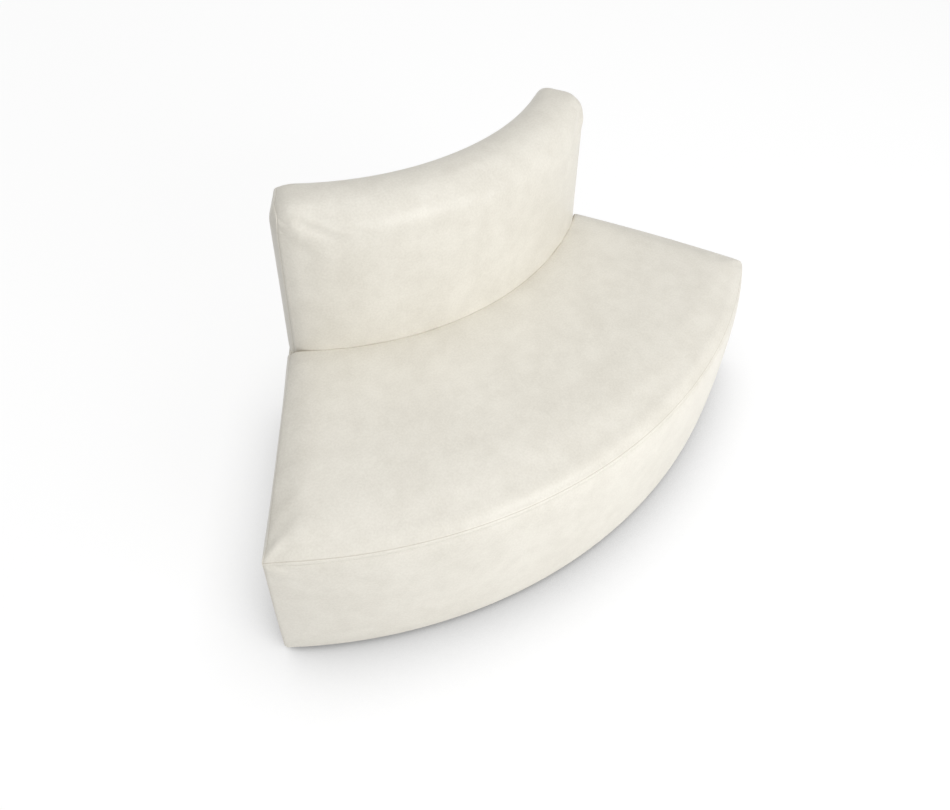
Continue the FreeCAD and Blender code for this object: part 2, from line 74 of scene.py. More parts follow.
class SeatSizes(bpy.types.PropertyGroup):
    edge_round: bpy.props.FloatProperty(
        name="Front edge round", description="Radius of the seat's front top edge",
        default=44 * MM, unit="LENGTH")
    end_roll: bpy.props.FloatProperty(
        name="End roll", description="Radius of the seat's top edges at the two ends",
        default=30 * MM, unit="LENGTH")
    end_round: bpy.props.FloatProperty(
        name="End round", description="Radius of the upright and lower edges at the two ends",
        default=12 * MM, unit="LENGTH")
    end_droop: bpy.props.FloatProperty(
        name="End droop", description="How far the padded top sinks towards the two ends",
        default=6 * MM, unit="LENGTH")
    crown: bpy.props.FloatProperty(
        name="Crown", description="Rise of the seat's middle over its edges",
        default=7 * MM, unit="LENGTH")
    swell: bpy.props.FloatProperty(
        name="Swell", description="Furthest that the filling pushes the cover out between its seams",
        default=6 * MM, unit="LENGTH")
    groove: bpy.props.FloatProperty(
        name="Seam depth", description="How far the seams pull the cover in",
        default=2.4 * MM, unit="LENGTH")
    front_fall: bpy.props.FloatProperty(
        name="Front fall", description="How far the padded top falls from the backrest to the front edge",
        default=22.6 * MM, unit="LENGTH")
    seam_setback: bpy.props.FloatProperty(
        name="Seam setback", description="How far the padding draws in the front seam",
        default=6.7 * MM, unit="LENGTH")
    flare: bpy.props.FloatProperty(
        name="Flare", description="How far the foot of the front band stands out in front of its seam",
        default=52 * MM, unit="LENGTH")
    belly: bpy.props.FloatProperty(
        name="Belly", description="How far the front band swells halfway down",
        default=4.5 * MM, unit="LENGTH")


class BackrestSizes(bpy.types.PropertyGroup):
    rake: bpy.props.FloatProperty(
        name="Rake", description="Lean of the front from upright, over the lean of the whole",
        default=math.radians(6.0), subtype="ANGLE")
    lean: bpy.props.FloatProperty(
        name="Lean", description="How far the padding at the top leans back, front and rear alike",
        default=13 * MM, unit="LENGTH")
    wing: bpy.props.FloatProperty(
        name="Wing", description="How far the top's ends stay forward of that lean",
        default=12 * MM, unit="LENGTH")
    nose_round: bpy.props.FloatProperty(
        name="Nose round", description="Radius of the front of the rolled top",
        default=50 * MM, unit="LENGTH")
    tail_round: bpy.props.FloatProperty(
        name="Rear round", description="Radius of the rear of the rolled top",
        default=38 * MM, unit="LENGTH")
    corner_round: bpy.props.FloatProperty(
        name="Corner round", description="Radius of the top corners seen from the front",
        default=64 * MM, unit="LENGTH")
    end_round: bpy.props.FloatProperty(
        name="End round", description="Radius of the upright edges between front and ends",
        default=62 * MM, unit="LENGTH")
    rear_round: bpy.props.FloatProperty(
        name="Rear end round", description="Radius of the upright edges between rear and ends",
        default=6 * MM, unit="LENGTH")
    swell: bpy.props.FloatProperty(
        name="Swell", description="Furthest that the filling pushes the cover out between its seams",
        default=6 * MM, unit="LENGTH")


class StitchSizes(bpy.types.PropertyGroup):
    pitch: bpy.props.FloatProperty(
        name="Pitch", description="Distance from one stitch to the next",
        default=5 * MM, unit="LENGTH")
    length: bpy.props.FloatProperty(
        name="Length", description="Length of thread that shows in one stitch",
        default=3.7 * MM, unit="LENGTH")
    thread: bpy.props.FloatProperty(
        name="Thread", description="Thickness of the thread",
        default=0.9 * MM, unit="LENGTH")
    drop: bpy.props.FloatProperty(
        name="Drop", description="Distance of the row below the front seam",
        default=8 * MM, unit="LENGTH")


class CoverLook(bpy.types.PropertyGroup):
    colour: bpy.props.FloatVectorProperty(
        name="Leatherette", description="Middle tone of the ivory leatherette",
        default=(0.855, 0.825, 0.745), subtype="COLOR", size=3)
    shade: bpy.props.FloatVectorProperty(
        name="Mottle", description="Darker tone that clouds the leatherette",
        default=(0.745, 0.712, 0.632), subtype="COLOR", size=3)
    # Colour of the painted shade that darkens the seams and the crease at the backrest.
    seam: bpy.props.FloatVectorProperty(
        name="Seam shade", description="Tone at the bottom of the seams",
        default=(0.33, 0.27, 0.19), subtype="COLOR", size=3)
    thread: bpy.props.FloatVectorProperty(
        name="Thread", description="Colour of the sewing thread",
        default=(0.86, 0.83, 0.75), subtype="COLOR", size=3)


class StudioLook(bpy.types.PropertyGroup):
    lens: bpy.props.FloatProperty(
        name="Lens", description="Focal length of the camera, in millimetres of a 36 mm sensor",
        default=25.798)
    place: bpy.props.FloatVectorProperty(
        name="Camera place", description="Where the camera stands",
        default=(-0.8831, -0.7414, 1.7), subtype="TRANSLATION", unit="LENGTH", size=3)
    yaw: bpy.props.FloatProperty(
        name="Yaw", description="Turn of the camera from +Y towards +X",
        default=math.radians(46.191), subtype="ANGLE")
    pitch: bpy.props.FloatProperty(
        name="Pitch", description="Tilt of the camera below the horizon",
        default=math.radians(53.844), subtype="ANGLE")
    roll: bpy.props.FloatProperty(
        name="Roll", description="Turn of the camera about its own axis",
        default=math.radians(8.781), subtype="ANGLE")
    ambient: bpy.props.FloatProperty(
        name="Ambient", description="Strength of the even white light from all round",
        default=0.45)
    key: bpy.props.FloatProperty(
        name="Key", description="Power of the large lamp in front, a little to the right",
        default=110.0, unit="POWER")
    top: bpy.props.FloatProperty(
        name="Top", description="Power of the wide lamp overhead",
        default=190.0, unit="POWER")
    floor: bpy.props.FloatVectorProperty(
        name="Floor", description="Colour of the studio floor",
        default=(0.78, 0.78, 0.78), subtype="COLOR", size=3)


class Value:
    """A socket in a finish; sums and products add Math nodes."""

    def __init__(self, finish, socket):
        self.finish = finish
        self.socket = socket

    def math(self, operation, other):
        return self.finish.node("ShaderNodeMath", {"operation": operation}, {0: self, 1: other})

    def __add__(self, other):
        return self.math("ADD", other)

    def __mul__(self, other):
        return self.math("MULTIPLY", other)

    __radd__ = __add__
    __rmul__ = __mul__


class Finish:
    """A material's node tree, with the nodes that this module's finishes share."""

    def __init__(self, name):
        self.material = bpy.data.materials.new(name)
        self.material.use_nodes = True
        self.tree = self.material.node_tree
        self.shader = self.tree.nodes["Principled BSDF"]
        self.place = self.node("ShaderNodeTexCoord", output="Object")

    def node(self, kind, settings=None, inputs=None, output=0):
        """Adds a node: its settings first, then the values or links of its sockets."""
        node = self.tree.nodes.new(kind)
        for name, value in (settings or {}).items():
            if name == "stops":
                self.set_stops(node.color_ramp, value)
            else:
                setattr(node, name, value)
        for name, value in (inputs or {}).items():
            self.feed(node.inputs[name], value)
        return Value(self, node.outputs[output])

    def set_stops(self, ramp, stops):
        for k, (position, level) in enumerate(stops):
            stop = ramp.elements[k] if k < 2 else ramp.elements.new(position)
            stop.position = position
            stop.color = (level, level, level, 1.0)

    def feed(self, socket, value):
        if isinstance(value, Value):
            self.tree.links.new(value.socket, socket)
        elif socket.type == "RGBA" and len(value) == 3:
            socket.default_value = (*value, 1.0)
        else:
            socket.default_value = value

    def stretched(self, scale):
        """Object coordinates scaled along the axes."""
        return self.node("ShaderNodeMapping", None, {"Vector": self.place, "Scale": scale})

    def cloud(self, scale, detail=3.0, place=None):
        return self.node("ShaderNodeTexNoise", None,
                         {"Vector": place or self.place, "Scale": scale, "Detail": detail}, "Fac")

    def ramp(self, value, *stops):
        return self.node("ShaderNodeValToRGB", {"stops": stops}, {"Fac": value})

    def mix(self, share, first, second):
        """A colour between two colours."""
        return self.node("ShaderNodeMix", {"data_type": "RGBA"},
                         {"Factor": share, 6: first, 7: second}, 2)

    def attribute(self, name):
        return self.node("ShaderNodeAttribute", {"attribute_name": name}, None, "Fac")

    def bump(self, height, distance, strength=1.0, under=None):
        inputs = {"Height": height, "Distance": distance, "Strength": strength}
        if under is not None:
            inputs["Normal"] = under
        return self.node("ShaderNodeBump", None, inputs, "Normal")

    def finish(self, **sockets):
        """Feeds the shader's sockets, named with _ for a space."""
        for name, value in sockets.items():
            self.feed(self.shader.inputs[name.replace("_", " ")], value)
        return self.material


def leatherette(look):
    """Smooth ivory leatherette: clouded tone, satin gloss, pebbled grain, and shade in the seams."""
    finish = Finish(LEATHERETTE)
    broad = finish.cloud(8.0, 3.0)
    blotch = finish.cloud(24.0, 3.0)
    speck = finish.cloud(210.0, 2.0)
    clouds = finish.ramp(broad * 0.5 + blotch * 0.5, (0.38, 0.0), (0.62, 1.0))
    specks = finish.ramp(speck, (0.30, 0.0), (0.70, 1.0))
    tone = finish.mix(clouds * 0.5 + specks * 0.5, look.shade, look.colour)
    # Painted shade: the seam attribute darkens the seams, and most of all the crease where the seat meets
    # the backrest, towards the seam shade colour.
    seam = finish.attribute("seam")
    seam_shade_share = finish.ramp(seam, (0.42, 0.0), (1.0, 1.0))
    shaded = finish.mix(seam_shade_share * 0.7, tone, look.seam)
    pebble = finish.node("ShaderNodeTexVoronoi", {"feature": "F1"},
                         {"Vector": finish.place, "Scale": 620.0})
    grain = finish.bump(pebble * 0.6 + speck * 0.6, 0.2 * MM, 0.3)
    hand = finish.bump(blotch, 2.0 * MM, 0.12, grain)
    gloss = 0.31 + blotch * 0.12 + speck * 0.06
    return finish.finish(Base_Color=shaded, Roughness=gloss, Normal=hand)


def sewing_thread(look):
    """Twisted thread: fine diagonal ply and a soft sheen."""
    finish = Finish(THREAD)
    ply = finish.node("ShaderNodeTexWave", {"bands_direction": "DIAGONAL"},
                      {"Vector": finish.place, "Scale": 900.0, "Distortion": 1.0}, "Fac")
    tone = finish.mix(ply, [0.9 * c for c in look.thread], look.thread)
    return finish.finish(Base_Color=tone, Roughness=0.6, Normal=finish.bump(ply, 0.15 * MM))


def timber(name, dark, pale, ring_scale, stretch):
    """Sawn wood: rings drawn out along the board, with pores."""
    finish = Finish(name)
    along = finish.stretched(stretch)
    ring = finish.node("ShaderNodeTexWave", {"bands_direction": "Z"},
                       {"Vector": along, "Scale": ring_scale, "Distortion": 5.0, "Detail": 3.0}, "Fac")
    pore = finish.cloud(ring_scale * 8.0, 4.0, along)
    tone = finish.mix(ring * 0.6 + pore * 0.4, dark, pale)
    rough = 0.58 + pore * 0.2
    return finish.finish(Base_Color=tone, Roughness=rough, Normal=finish.bump(pore, 0.2 * MM))


def strap_webbing():
    """Elastic webbing: crossed ribs of thread."""
    finish = Finish("strap_webbing")
    warp = finish.node("ShaderNodeTexWave", {"bands_direction": "X"},
                       {"Vector": finish.place, "Scale": 160.0}, "Fac")
    weft = finish.node("ShaderNodeTexWave", {"bands_direction": "Y"},
                       {"Vector": finish.place, "Scale": 120.0}, "Fac")
    weave = warp * 0.5 + weft * 0.5
    tone = finish.mix(weave, (0.04, 0.035, 0.03), (0.16, 0.13, 0.10))
    return finish.finish(Base_Color=tone, Roughness=0.85, Normal=finish.bump(weave, 0.5 * MM))


def lining_cloth():
    """Black spun cloth under the base: pressed dots and loose fibres."""
    finish = Finish("lining_cloth")
    dots = finish.node("ShaderNodeTexVoronoi", {"feature": "F1"},
                       {"Vector": finish.place, "Scale": 420.0})
    fibre = finish.cloud(300.0, 5.0)
    tone = finish.mix(fibre, (0.012, 0.012, 0.013), (0.045, 0.045, 0.048))
    height = dots * 0.6 + fibre * 0.4
    return finish.finish(Base_Color=tone, Roughness=0.9, Normal=finish.bump(height, 0.3 * MM))


def moulded_nylon():
    """Black glide pads: fine spark texture and scuffs."""
    finish = Finish("moulded_nylon")
    spark = finish.cloud(1500.0, 3.0)
    scuff = finish.ramp(finish.cloud(90.0, 5.0), (0.52, 0.0), (0.72, 1.0))
    tone = finish.mix(scuff, (0.018, 0.018, 0.019), (0.06, 0.06, 0.06))
    rough = 0.42 + scuff * 0.25
    return finish.finish(Base_Color=tone, Roughness=rough, Normal=finish.bump(spark, 0.1 * MM))


def plated_steel():
    """Zinc plating: brushed along the stem, with dull patches."""
    finish = Finish("plated_steel")
    brush = finish.cloud(900.0, 3.0, finish.stretched((1.0, 1.0, 6.0)))
    patch = finish.cloud(140.0, 4.0)
    tone = finish.mix(patch, (0.50, 0.50, 0.48), (0.68, 0.68, 0.66))
    rough = 0.26 + patch * 0.18
    return finish.finish(Base_Color=tone, Metallic=1.0, Roughness=rough,
                         Normal=finish.bump(brush, 0.05 * MM))


def box_lattice(columns, depths, heights):
    """A closed box of quads whose vertices stand at whole numbers along each axis."""
    counts = (columns - 1, depths - 1, heights - 1)
    bm = bmesh.new()
    bmesh.ops.create_cube(bm, size=1.0)
    bmesh.ops.translate(bm, vec=(0.5, 0.5, 0.5), verts=bm.verts)
    bmesh.ops.scale(bm, vec=counts, verts=bm.verts)
    for axis, count in enumerate(counts):
        ring = [e for e in bm.edges if abs((e.verts[0].co - e.verts[1].co)[axis]) > 0.5]
        bmesh.ops.subdivide_edges(bm, edges=ring, cuts=count - 1, use_grid_fill=True)
    return bm


def even_rows(low, high, step):
    """Positions from low to high, about a step apart."""
    count = round((high - low) / step)
    return [low + (high - low) * k / count for k in range(count + 1)]


def end_columns(near, step, radius):
    """Angles of the columns, in degrees: close to the ends, then even."""
    angles = [math.degrees(d / radius) for d in near]
    count = round(math.radians(2 * (HALF_ANGLE - angles[-1])) * radius / step)
    inner = HALF_ANGLE - angles[-1]
    middle = [-inner + 2 * inner * k / count for k in range(1, count)]
    left = [a - HALF_ANGLE for a in angles]
    return left + middle + [-a for a in reversed(left)]


def rounded(first, second, radius):
    """Distances from two faces, moved so that the edge between the faces has a round."""
    inside = (first < radius) & (second < radius)
    u = np.clip(1 - first / radius, 0, 1)
    v = np.clip(1 - second / radius, 0, 1)
    return (np.where(inside, radius * (1 - u * np.sqrt(1 - v * v / 2)), first),
            np.where(inside, radius * (1 - v * np.sqrt(1 - u * u / 2)), second))


def smooth(low, high, value):
    """From 0 at low to 1 at high, with an easy start and end."""
    t = np.clip((value - low) / (high - low), 0, 1)
    return t * t * (3 - 2 * t)


def on_curve(radius, angle, height):
    """Points in metres, from radius and height in millimetres and the angle in radians."""
    return MM * np.stack([radius * np.sin(angle), AXIS_Y - radius * np.cos(angle), height], axis=1)


def lattice_numbers(bm):
    """Column, depth row and height row of each vertex of a lattice."""
    return np.array([v.co for v in bm.verts]).round().astype(int)


def place_vertices(bm, points):
    for vertex, point in zip(bm.verts, points):
        vertex.co = point


# Rows of the seat's lattice, in millimetres from the ends, the rear and the underside
SEAT_NEAR = (0, 4, 8.5, 14, 21, 30, 41, 55)
SEAT_SPACING = 15.0
SEAT_MIDDLE_RADIUS = 1080.0
SEAT_DEPTH = 697.0
SEAT_HEIGHT = 424.0
STEP_DEPTH = 170.0
SEAM_LEVEL = 412.0
STITCH_LEVEL = 401.0
SEAT_DEPTHS = ([0, 3.5, 8, 14] + even_rows(24, 150, 16)
               + [158, 163, 167, STEP_DEPTH, 173, 176.5, 181, 190] + even_rows(204, 652, 15.5)
               + [663, 671, 678, 684, 689, 693, 695.5, SEAT_DEPTH])
SEAT_HEIGHTS = ([0, 3.5, 8, 14, 21] + even_rows(36, 356, 16) + [370, 380, 387, 392.5, 397]
                + [STITCH_LEVEL, 405, 408.5, SEAM_LEVEL, 415, 418, 421, SEAT_HEIGHT])
SEAM_ROW = SEAT_HEIGHTS.index(SEAM_LEVEL)
STITCH_ROW = SEAT_HEIGHTS.index(STITCH_LEVEL)
STEP_COLUMN = SEAT_DEPTHS.index(STEP_DEPTH)

# Rounds of the seat's lesser edges, and where its padding starts and fades, in millimetres
FOOT_ROUND = 12.0
REAR_FOOT_ROUND = 5.0
REAR_TOP_ROUND = 3.0
REAR_END_ROUND = 6.0
DECK_END_ROUND = 4.0
DECK_PADDING = 1.5
DECK_START = 300.0
CROWN_START = 380.0
DROOP_REACH = 80.0
SPREAD_FADE = (60.0, 160.0)


def seam_height(sizes):
    """Height of the front seam, which lies part of the way round the front edge."""
    edge = sizes.edge_round / MM
    up = 1 - (SEAT_HEIGHT - SEAM_LEVEL) / edge
    return BASE_BOTTOM + SEAT_HEIGHT - edge * (1 - up * math.sqrt(0.5)) - sizes.front_fall / MM


def front_radius(height, sizes):
    """Radius of the front band at a height: it flares below the seam and swells halfway down."""
    seam = seam_height(sizes)
    drop = np.clip((seam - height) / (seam - BASE_BOTTOM), 0, 1)
    swell_out = sizes.flare * drop + 4 * sizes.belly * drop * (1 - drop)
    return SEAM_RADIUS - sizes.seam_setback / MM + swell_out / MM


def seat_points(numbers, columns, sizes):
    """Where the seat's lattice lies: a sector with round edges, a crowned top and a low deck behind."""
    angle = np.radians(np.array(columns))[numbers[:, 0]]
    depth = np.array(SEAT_DEPTHS, float)[numbers[:, 1]]
    height = np.array(SEAT_HEIGHTS, float)[numbers[:, 2]]
    edge, end = sizes.edge_round / MM, sizes.end_round / MM
    side = np.sign(angle)
    inward = (math.radians(HALF_ANGLE) - np.abs(angle)) * (REAR_RADIUS + depth)
    inward_was = inward.copy()
    front, rear = SEAT_DEPTH - depth, depth
    top, bottom = SEAT_HEIGHT - height, height
    top_was = top.copy()
    front, top = rounded(front, top, edge)
    front, bottom_front = rounded(front, bottom, FOOT_ROUND)
    rear, bottom_rear = rounded(rear, bottom, REAR_FOOT_ROUND)
    rear, top_rear = rounded(rear, top, REAR_TOP_ROUND)
    deck = numbers[:, 1] < STEP_COLUMN
    inward, front = rounded(inward, front, end)
    inward, rear = rounded(inward, rear, REAR_END_ROUND)
    inward, top_end = rounded(inward, top, np.where(deck, DECK_END_ROUND, sizes.end_roll / MM))
    inward, bottom_end = rounded(inward, bottom, end)
    rise = np.maximum(bottom_front, np.maximum(bottom_rear, bottom_end))
    sink = np.maximum(top, np.maximum(top_rear, top_end))
    height = np.where(top_was < SEAT_HEIGHT / 2, SEAT_HEIGHT - sink, rise)
    depth = np.where(numbers[:, 1] > STEP_COLUMN, SEAT_DEPTH - front, rear)
    deck_top = DECK_TOP + DECK_PADDING - BASE_BOTTOM
    lowered = DECK_START + (height - DECK_START) * (deck_top - DECK_START) / (SEAT_HEIGHT - DECK_START)
    height = np.where(deck & (height > DECK_START), lowered, height)
    seat_back = SEAT_BACK_RADIUS - REAR_RADIUS
    share = np.clip((depth - seat_back) / (SEAT_DEPTH - seat_back), 0, 1)
    droop = sizes.end_droop / MM * (1 - np.clip(inward_was / DROOP_REACH, 0, 1)) ** 2
    crown = sizes.crown / MM * (1 - (2 * share - 1) ** 2)
    lift = (crown - droop) * smooth(CROWN_START, SEAT_HEIGHT, height)
    fall = sizes.front_fall / MM * share * np.minimum(height / SEAM_LEVEL, 1)
    height = np.where(deck, height, height + lift - fall) + BASE_BOTTOM
    radius = REAR_RADIUS + depth * (front_radius(height, sizes) - REAR_RADIUS) / SEAT_DEPTH
    off_middle = angle / math.radians(HALF_ANGLE)
    inward -= END_SPREAD * off_middle ** SPREAD_POWER * (1 - smooth(*SPREAD_FADE, depth))
    return on_curve(radius, angle + side * (inward_was - inward) / radius, height)


# Rows of the backrest's lattice, in millimetres from the ends, the rear and the deck
BACKREST_NEAR = (0, 4, 9, 15, 22, 30, 39, 49, 61)
BACKREST_SPACING = 14.0
BACKREST_MIDDLE_RADIUS = 760.0
BACKREST_DEPTH = 176.7
BACKREST_HEIGHT = 395.0
REAR_SEAM_LEVEL = 360.0
BACKREST_DEPTHS = [0, 3.5, 8, 14, 21, 29, 38, 50, 64, 78, 92, 106, 118, 128, 137, 145, 152,
                   158.5, 164, 169, 173, BACKREST_DEPTH]
BACKREST_HEIGHTS = ([0, 3, 7, 12, 20] + even_rows(34, 320, 15)
                    + [334, 346, 352, 356.5, REAR_SEAM_LEVEL, 363.5, 368, 373, 378, 383,
                       386.5, 389.5, 392.5, BACKREST_HEIGHT])
REAR_SEAM_ROW = BACKREST_HEIGHTS.index(REAR_SEAM_LEVEL)
BACKREST_FOOT_ROUND = 8.0
BACKREST_FOOT_ROW = 2
REAR_CORNER_SHARE = 0.75


def backrest_points(numbers, columns, sizes):
    """Where the backrest's lattice lies: a raked, curved slab with a rolled top and round corners."""
    angle = np.radians(np.array(columns))[numbers[:, 0]]
    share = np.array(BACKREST_DEPTHS)[numbers[:, 1]] / BACKREST_DEPTH
    height = np.array(BACKREST_HEIGHTS, float)[numbers[:, 2]]
    lean = math.tan(sizes.rake)
    thickness = BACKREST_DEPTH - height * lean
    depth = share * thickness
    side = np.sign(angle)
    inward = (math.radians(HALF_ANGLE) - np.abs(angle)) * (REAR_RADIUS + depth)
    inward_was = inward.copy()
    front, rear = thickness - depth, depth
    top, bottom = BACKREST_HEIGHT - height, height
    is_front = share > 0.5
    ahead = smooth(0.5, 1.0, share)
    front, top_front = rounded(front, top, sizes.nose_round / MM)
    rear, top_rear = rounded(rear, top, sizes.tail_round / MM)
    top = np.where(is_front, top_front, top_rear)
    front, bottom_front = rounded(front, bottom, BACKREST_FOOT_ROUND)
    rear, bottom_rear = rounded(rear, bottom, BACKREST_FOOT_ROUND)
    bottom = np.where(is_front, bottom_front, bottom_rear)
    inward, front = rounded(inward, front, sizes.end_round / MM)
    inward, rear = rounded(inward, rear, sizes.rear_round / MM)
    corner_share = REAR_CORNER_SHARE + (1 - REAR_CORNER_SHARE) * ahead
    inward, top = rounded(inward, top, sizes.corner_round / MM * corner_share)
    inward, bottom = rounded(inward, bottom, BACKREST_FOOT_ROUND)
    height = np.where(height > BACKREST_HEIGHT / 2, BACKREST_HEIGHT - top, bottom)
    thickness = BACKREST_DEPTH - height * lean
    depth = np.where(is_front, thickness - front, rear)
    rise = height / BACKREST_HEIGHT
    off_middle = angle / math.radians(HALF_ANGLE)
    radius = REAR_RADIUS + depth + rise * (sizes.wing * off_middle ** 2 - sizes.lean) / MM
    inward -= off_middle ** SPREAD_POWER * END_SPREAD * (1 - ahead * rise)
    return on_curve(radius, angle + side * (inward_was - inward) / radius, DECK_TOP + height)


MERGE_DISTANCE = 0.01 * MM


def as_piece(name, bm):
    """A new object at the origin from a finished bmesh, with its faces turned outwards."""
    bmesh.ops.remove_doubles(bm, verts=bm.verts, dist=MERGE_DISTANCE)
    bmesh.ops.recalc_face_normals(bm, faces=bm.faces)
    mesh = bpy.data.meshes.new(name)
    bm.to_mesh(mesh)
    bm.free()
    mesh.polygons.foreach_set("use_smooth", [True] * len(mesh.polygons))
    piece = bpy.data.objects.new(name, mesh)
    bpy.context.scene.collection.objects.link(piece)
    return piece


def read_points(mesh):
    points = np.empty(len(mesh.vertices) * 3, np.float32)
    mesh.vertices.foreach_get("co", points)
    return points.reshape(-1, 3)


def read_normals(mesh):
    normals = np.empty(len(mesh.vertices) * 3, np.float32)
    mesh.vertex_normals.foreach_get("vector", normals)
    return normals.reshape(-1, 3)


def write_points(mesh, points):
    mesh.vertices.foreach_set("co", points.astype(np.float32).ravel())
    mesh.update()


# Swelling and sewing of the covers
SWELL_FRAMES = 20
SWELL_PRESSURE = 4.0
STILL = 1e-9
PUCKER = 0.7 * MM
PUCKER_SIZE = 22 * MM
SEAM_CREASE = 0.8


def swell(piece, held, limit):
    """Lets the filling push the cover out between the held seams, as far as the limit."""
    scene = bpy.context.scene
    start = read_points(piece.data)
    group = piece.vertex_groups.new(name="held")
    group.add([int(k) for k in np.flatnonzero(held)], 1.0, "REPLACE")
    cloth = piece.modifiers.new("swell", "CLOTH")
    cloth.settings.quality = 4
    cloth.settings.use_pressure = True
    cloth.settings.uniform_pressure_force = SWELL_PRESSURE
    cloth.settings.vertex_group_mass = group.name
    cloth.settings.effector_weights.gravity = 0.0
    cloth.collision_settings.use_collision = False
    cloth.point_cache.frame_start = 1
    cloth.point_cache.frame_end = SWELL_FRAMES
    for number in range(1, SWELL_FRAMES + 1):
        scene.frame_set(number)
    swollen = piece.evaluated_get(bpy.context.evaluated_depsgraph_get())
    moved = read_points(swollen.data) - start
    piece.modifiers.remove(cloth)
    piece.vertex_groups.remove(group)
    scene.frame_set(1)
    length = np.linalg.norm(moved, axis=1)
    share = np.where(length > STILL, limit * np.tanh(length / limit) / np.maximum(length, STILL), 0)
    write_points(piece.data, start + moved * share[:, None])


def sew(piece, seam_pull_and_shade, depth):
    """Pulls the seam loops in, gathers the cover beside them, and marks them with the seam attribute that
    paints shade into the seams.
    """
    mesh = piece.data
    points, normals = read_points(mesh), read_normals(mesh)
    pull = depth * seam_pull_and_shade
    gather = np.array([noise.noise(Vector(p) / PUCKER_SIZE) for p in points]) * PUCKER
    near = np.zeros(len(points))
    edges = np.empty(len(mesh.edges) * 2, np.int32)
    mesh.edges.foreach_get("vertices", edges)
    edges = edges.reshape(-1, 2)
    for a, b in (edges.T, edges.T[::-1]):
        np.maximum.at(near, a, seam_pull_and_shade[b])
    offset = gather * near * (1 - seam_pull_and_shade) - pull
    write_points(mesh, points + normals * offset[:, None])
    # The seam attribute sets how dark the painted seam shade is in the finish.
    mesh.attributes.new("seam", "FLOAT", "POINT").data.foreach_set("value", seam_pull_and_shade.astype(np.float32))
    both = (seam_pull_and_shade[edges[:, 0]] > 0.5) & (seam_pull_and_shade[edges[:, 1]] > 0.5)
    crease = mesh.attributes.new("crease_edge", "FLOAT", "EDGE")
    crease.data.foreach_set("value", (SEAM_CREASE * both).astype(np.float32))


# Room for the glides in the cover's underside
GLIDES = ("front_left", "front_middle", "front_right", "rear_left", "rear_right")
GLIDE_REACH = 24 * MM
GLIDE_ROOM = 20 * MM
DOWNWARD = -0.9


def clear_glides(piece):
    """Recesses the cover's underside round each glide, so that collar and stem move clear of it."""
    bm = bmesh.new()
    bm.from_mesh(piece.data)
    for name in GLIDES:
        low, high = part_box("glide_stem_" + name)
        middle = (low + high) / 2
        faces = [f for f in bm.faces
                 if f.normal.z < DOWNWARD and (f.calc_center_median() - middle).xy.length < GLIDE_REACH]
        if not faces:
            raise RuntimeError("no underside round the glide " + name)
        raised = bmesh.ops.extrude_face_region(bm, geom=faces)["geom"]
        corners = [part for part in raised if isinstance(part, bmesh.types.BMVert)]
        bmesh.ops.translate(bm, vec=(0.0, 0.0, GLIDE_ROOM), verts=corners)
        bmesh.ops.delete(bm, geom=faces, context="FACES")
    bm.to_mesh(piece.data)
    bm.free()


def smoothed(piece):
    """One level of subdivision, the same in the view and in the render."""
    modifier = piece.modifiers.new("smooth", "SUBSURF")
    modifier.levels = 1
    modifier.render_levels = 1


def keep_piece(piece, finish_name, *nodes):
    """Gives a finished piece its material, its body and the solids that it stands for."""
    piece.data.materials.append(bpy.data.materials[finish_name])
    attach(piece, BASE)
    if nodes:
        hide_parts(*nodes)


def end_edges(numbers, counts):
    """True on the edges round the two ends of a lattice."""
    at_end = (numbers[:, 0] == 0) | (numbers[:, 0] == counts[0])
    at_side = (numbers[:, 1] == 0) | (numbers[:, 1] == counts[1])
    at_level = (numbers[:, 2] == 0) | (numbers[:, 2] == counts[2])
    return at_end & (at_side | at_level)


class SEATMODULE_OT_seat(bpy.types.Operator):
    """Make the padded cover of the base: crowned seat, front band, ends and rear"""
    bl_idname = "seatmodule.seat"
    bl_label = "Seat"

    def execute(self, context):
        sizes = context.scene.seat_sizes
        columns = end_columns(SEAT_NEAR, SEAT_SPACING, SEAT_MIDDLE_RADIUS)
        counts = (len(columns) - 1, len(SEAT_DEPTHS) - 1, len(SEAT_HEIGHTS) - 1)
        bm = box_lattice(len(columns), len(SEAT_DEPTHS), len(SEAT_HEIGHTS))
        numbers = lattice_numbers(bm)
        place_vertices(bm, seat_points(numbers, columns, sizes))
        piece = as_piece("seat_upholstery", bm)
        on_front = numbers[:, 1] == counts[1]
        front_seam = on_front & (numbers[:, 2] == SEAM_ROW)
        ends = end_edges(numbers, counts)
        under = numbers[:, 2] == 0
        behind = (numbers[:, 1] <= STEP_COLUMN + 1) & (numbers[:, 2] >= STITCH_ROW)
        at_step = (numbers[:, 1] == STEP_COLUMN) | (numbers[:, 1] == STEP_COLUMN + 1)
        # The crease where the seat meets the backrest, marked 1.0 below for the darkest painted shade.
        crease = at_step & (numbers[:, 2] == counts[2])
        stitched = on_front & (numbers[:, 2] == STITCH_ROW)
        swell(piece, front_seam | ends | under | behind, sizes.swell)
        behind_edge = ends & (numbers[:, 1] <= STEP_COLUMN)
        # Each value sets how far a seam pulls in and how dark its painted shade is; values under 0.42 give
        # no shade.
        seam_pull_and_shade = np.select([crease, front_seam, behind_edge, ends, stitched],
                          [1.0, 0.8, 0.3, 0.7, 0.4], 0.0)
        sew(piece, seam_pull_and_shade, sizes.groove)
        clear_glides(piece)
        smoothed(piece)
        keep_piece(piece, LEATHERETTE,
                   "seat_cover_top", "seat_cover_front", "seat_cover_left", "seat_cover_right",
                   "seat_cover_rear", "seat_foam", "front_padding", "rear_padding",
                   "end_padding_left", "end_padding_right")
        return {"FINISHED"}


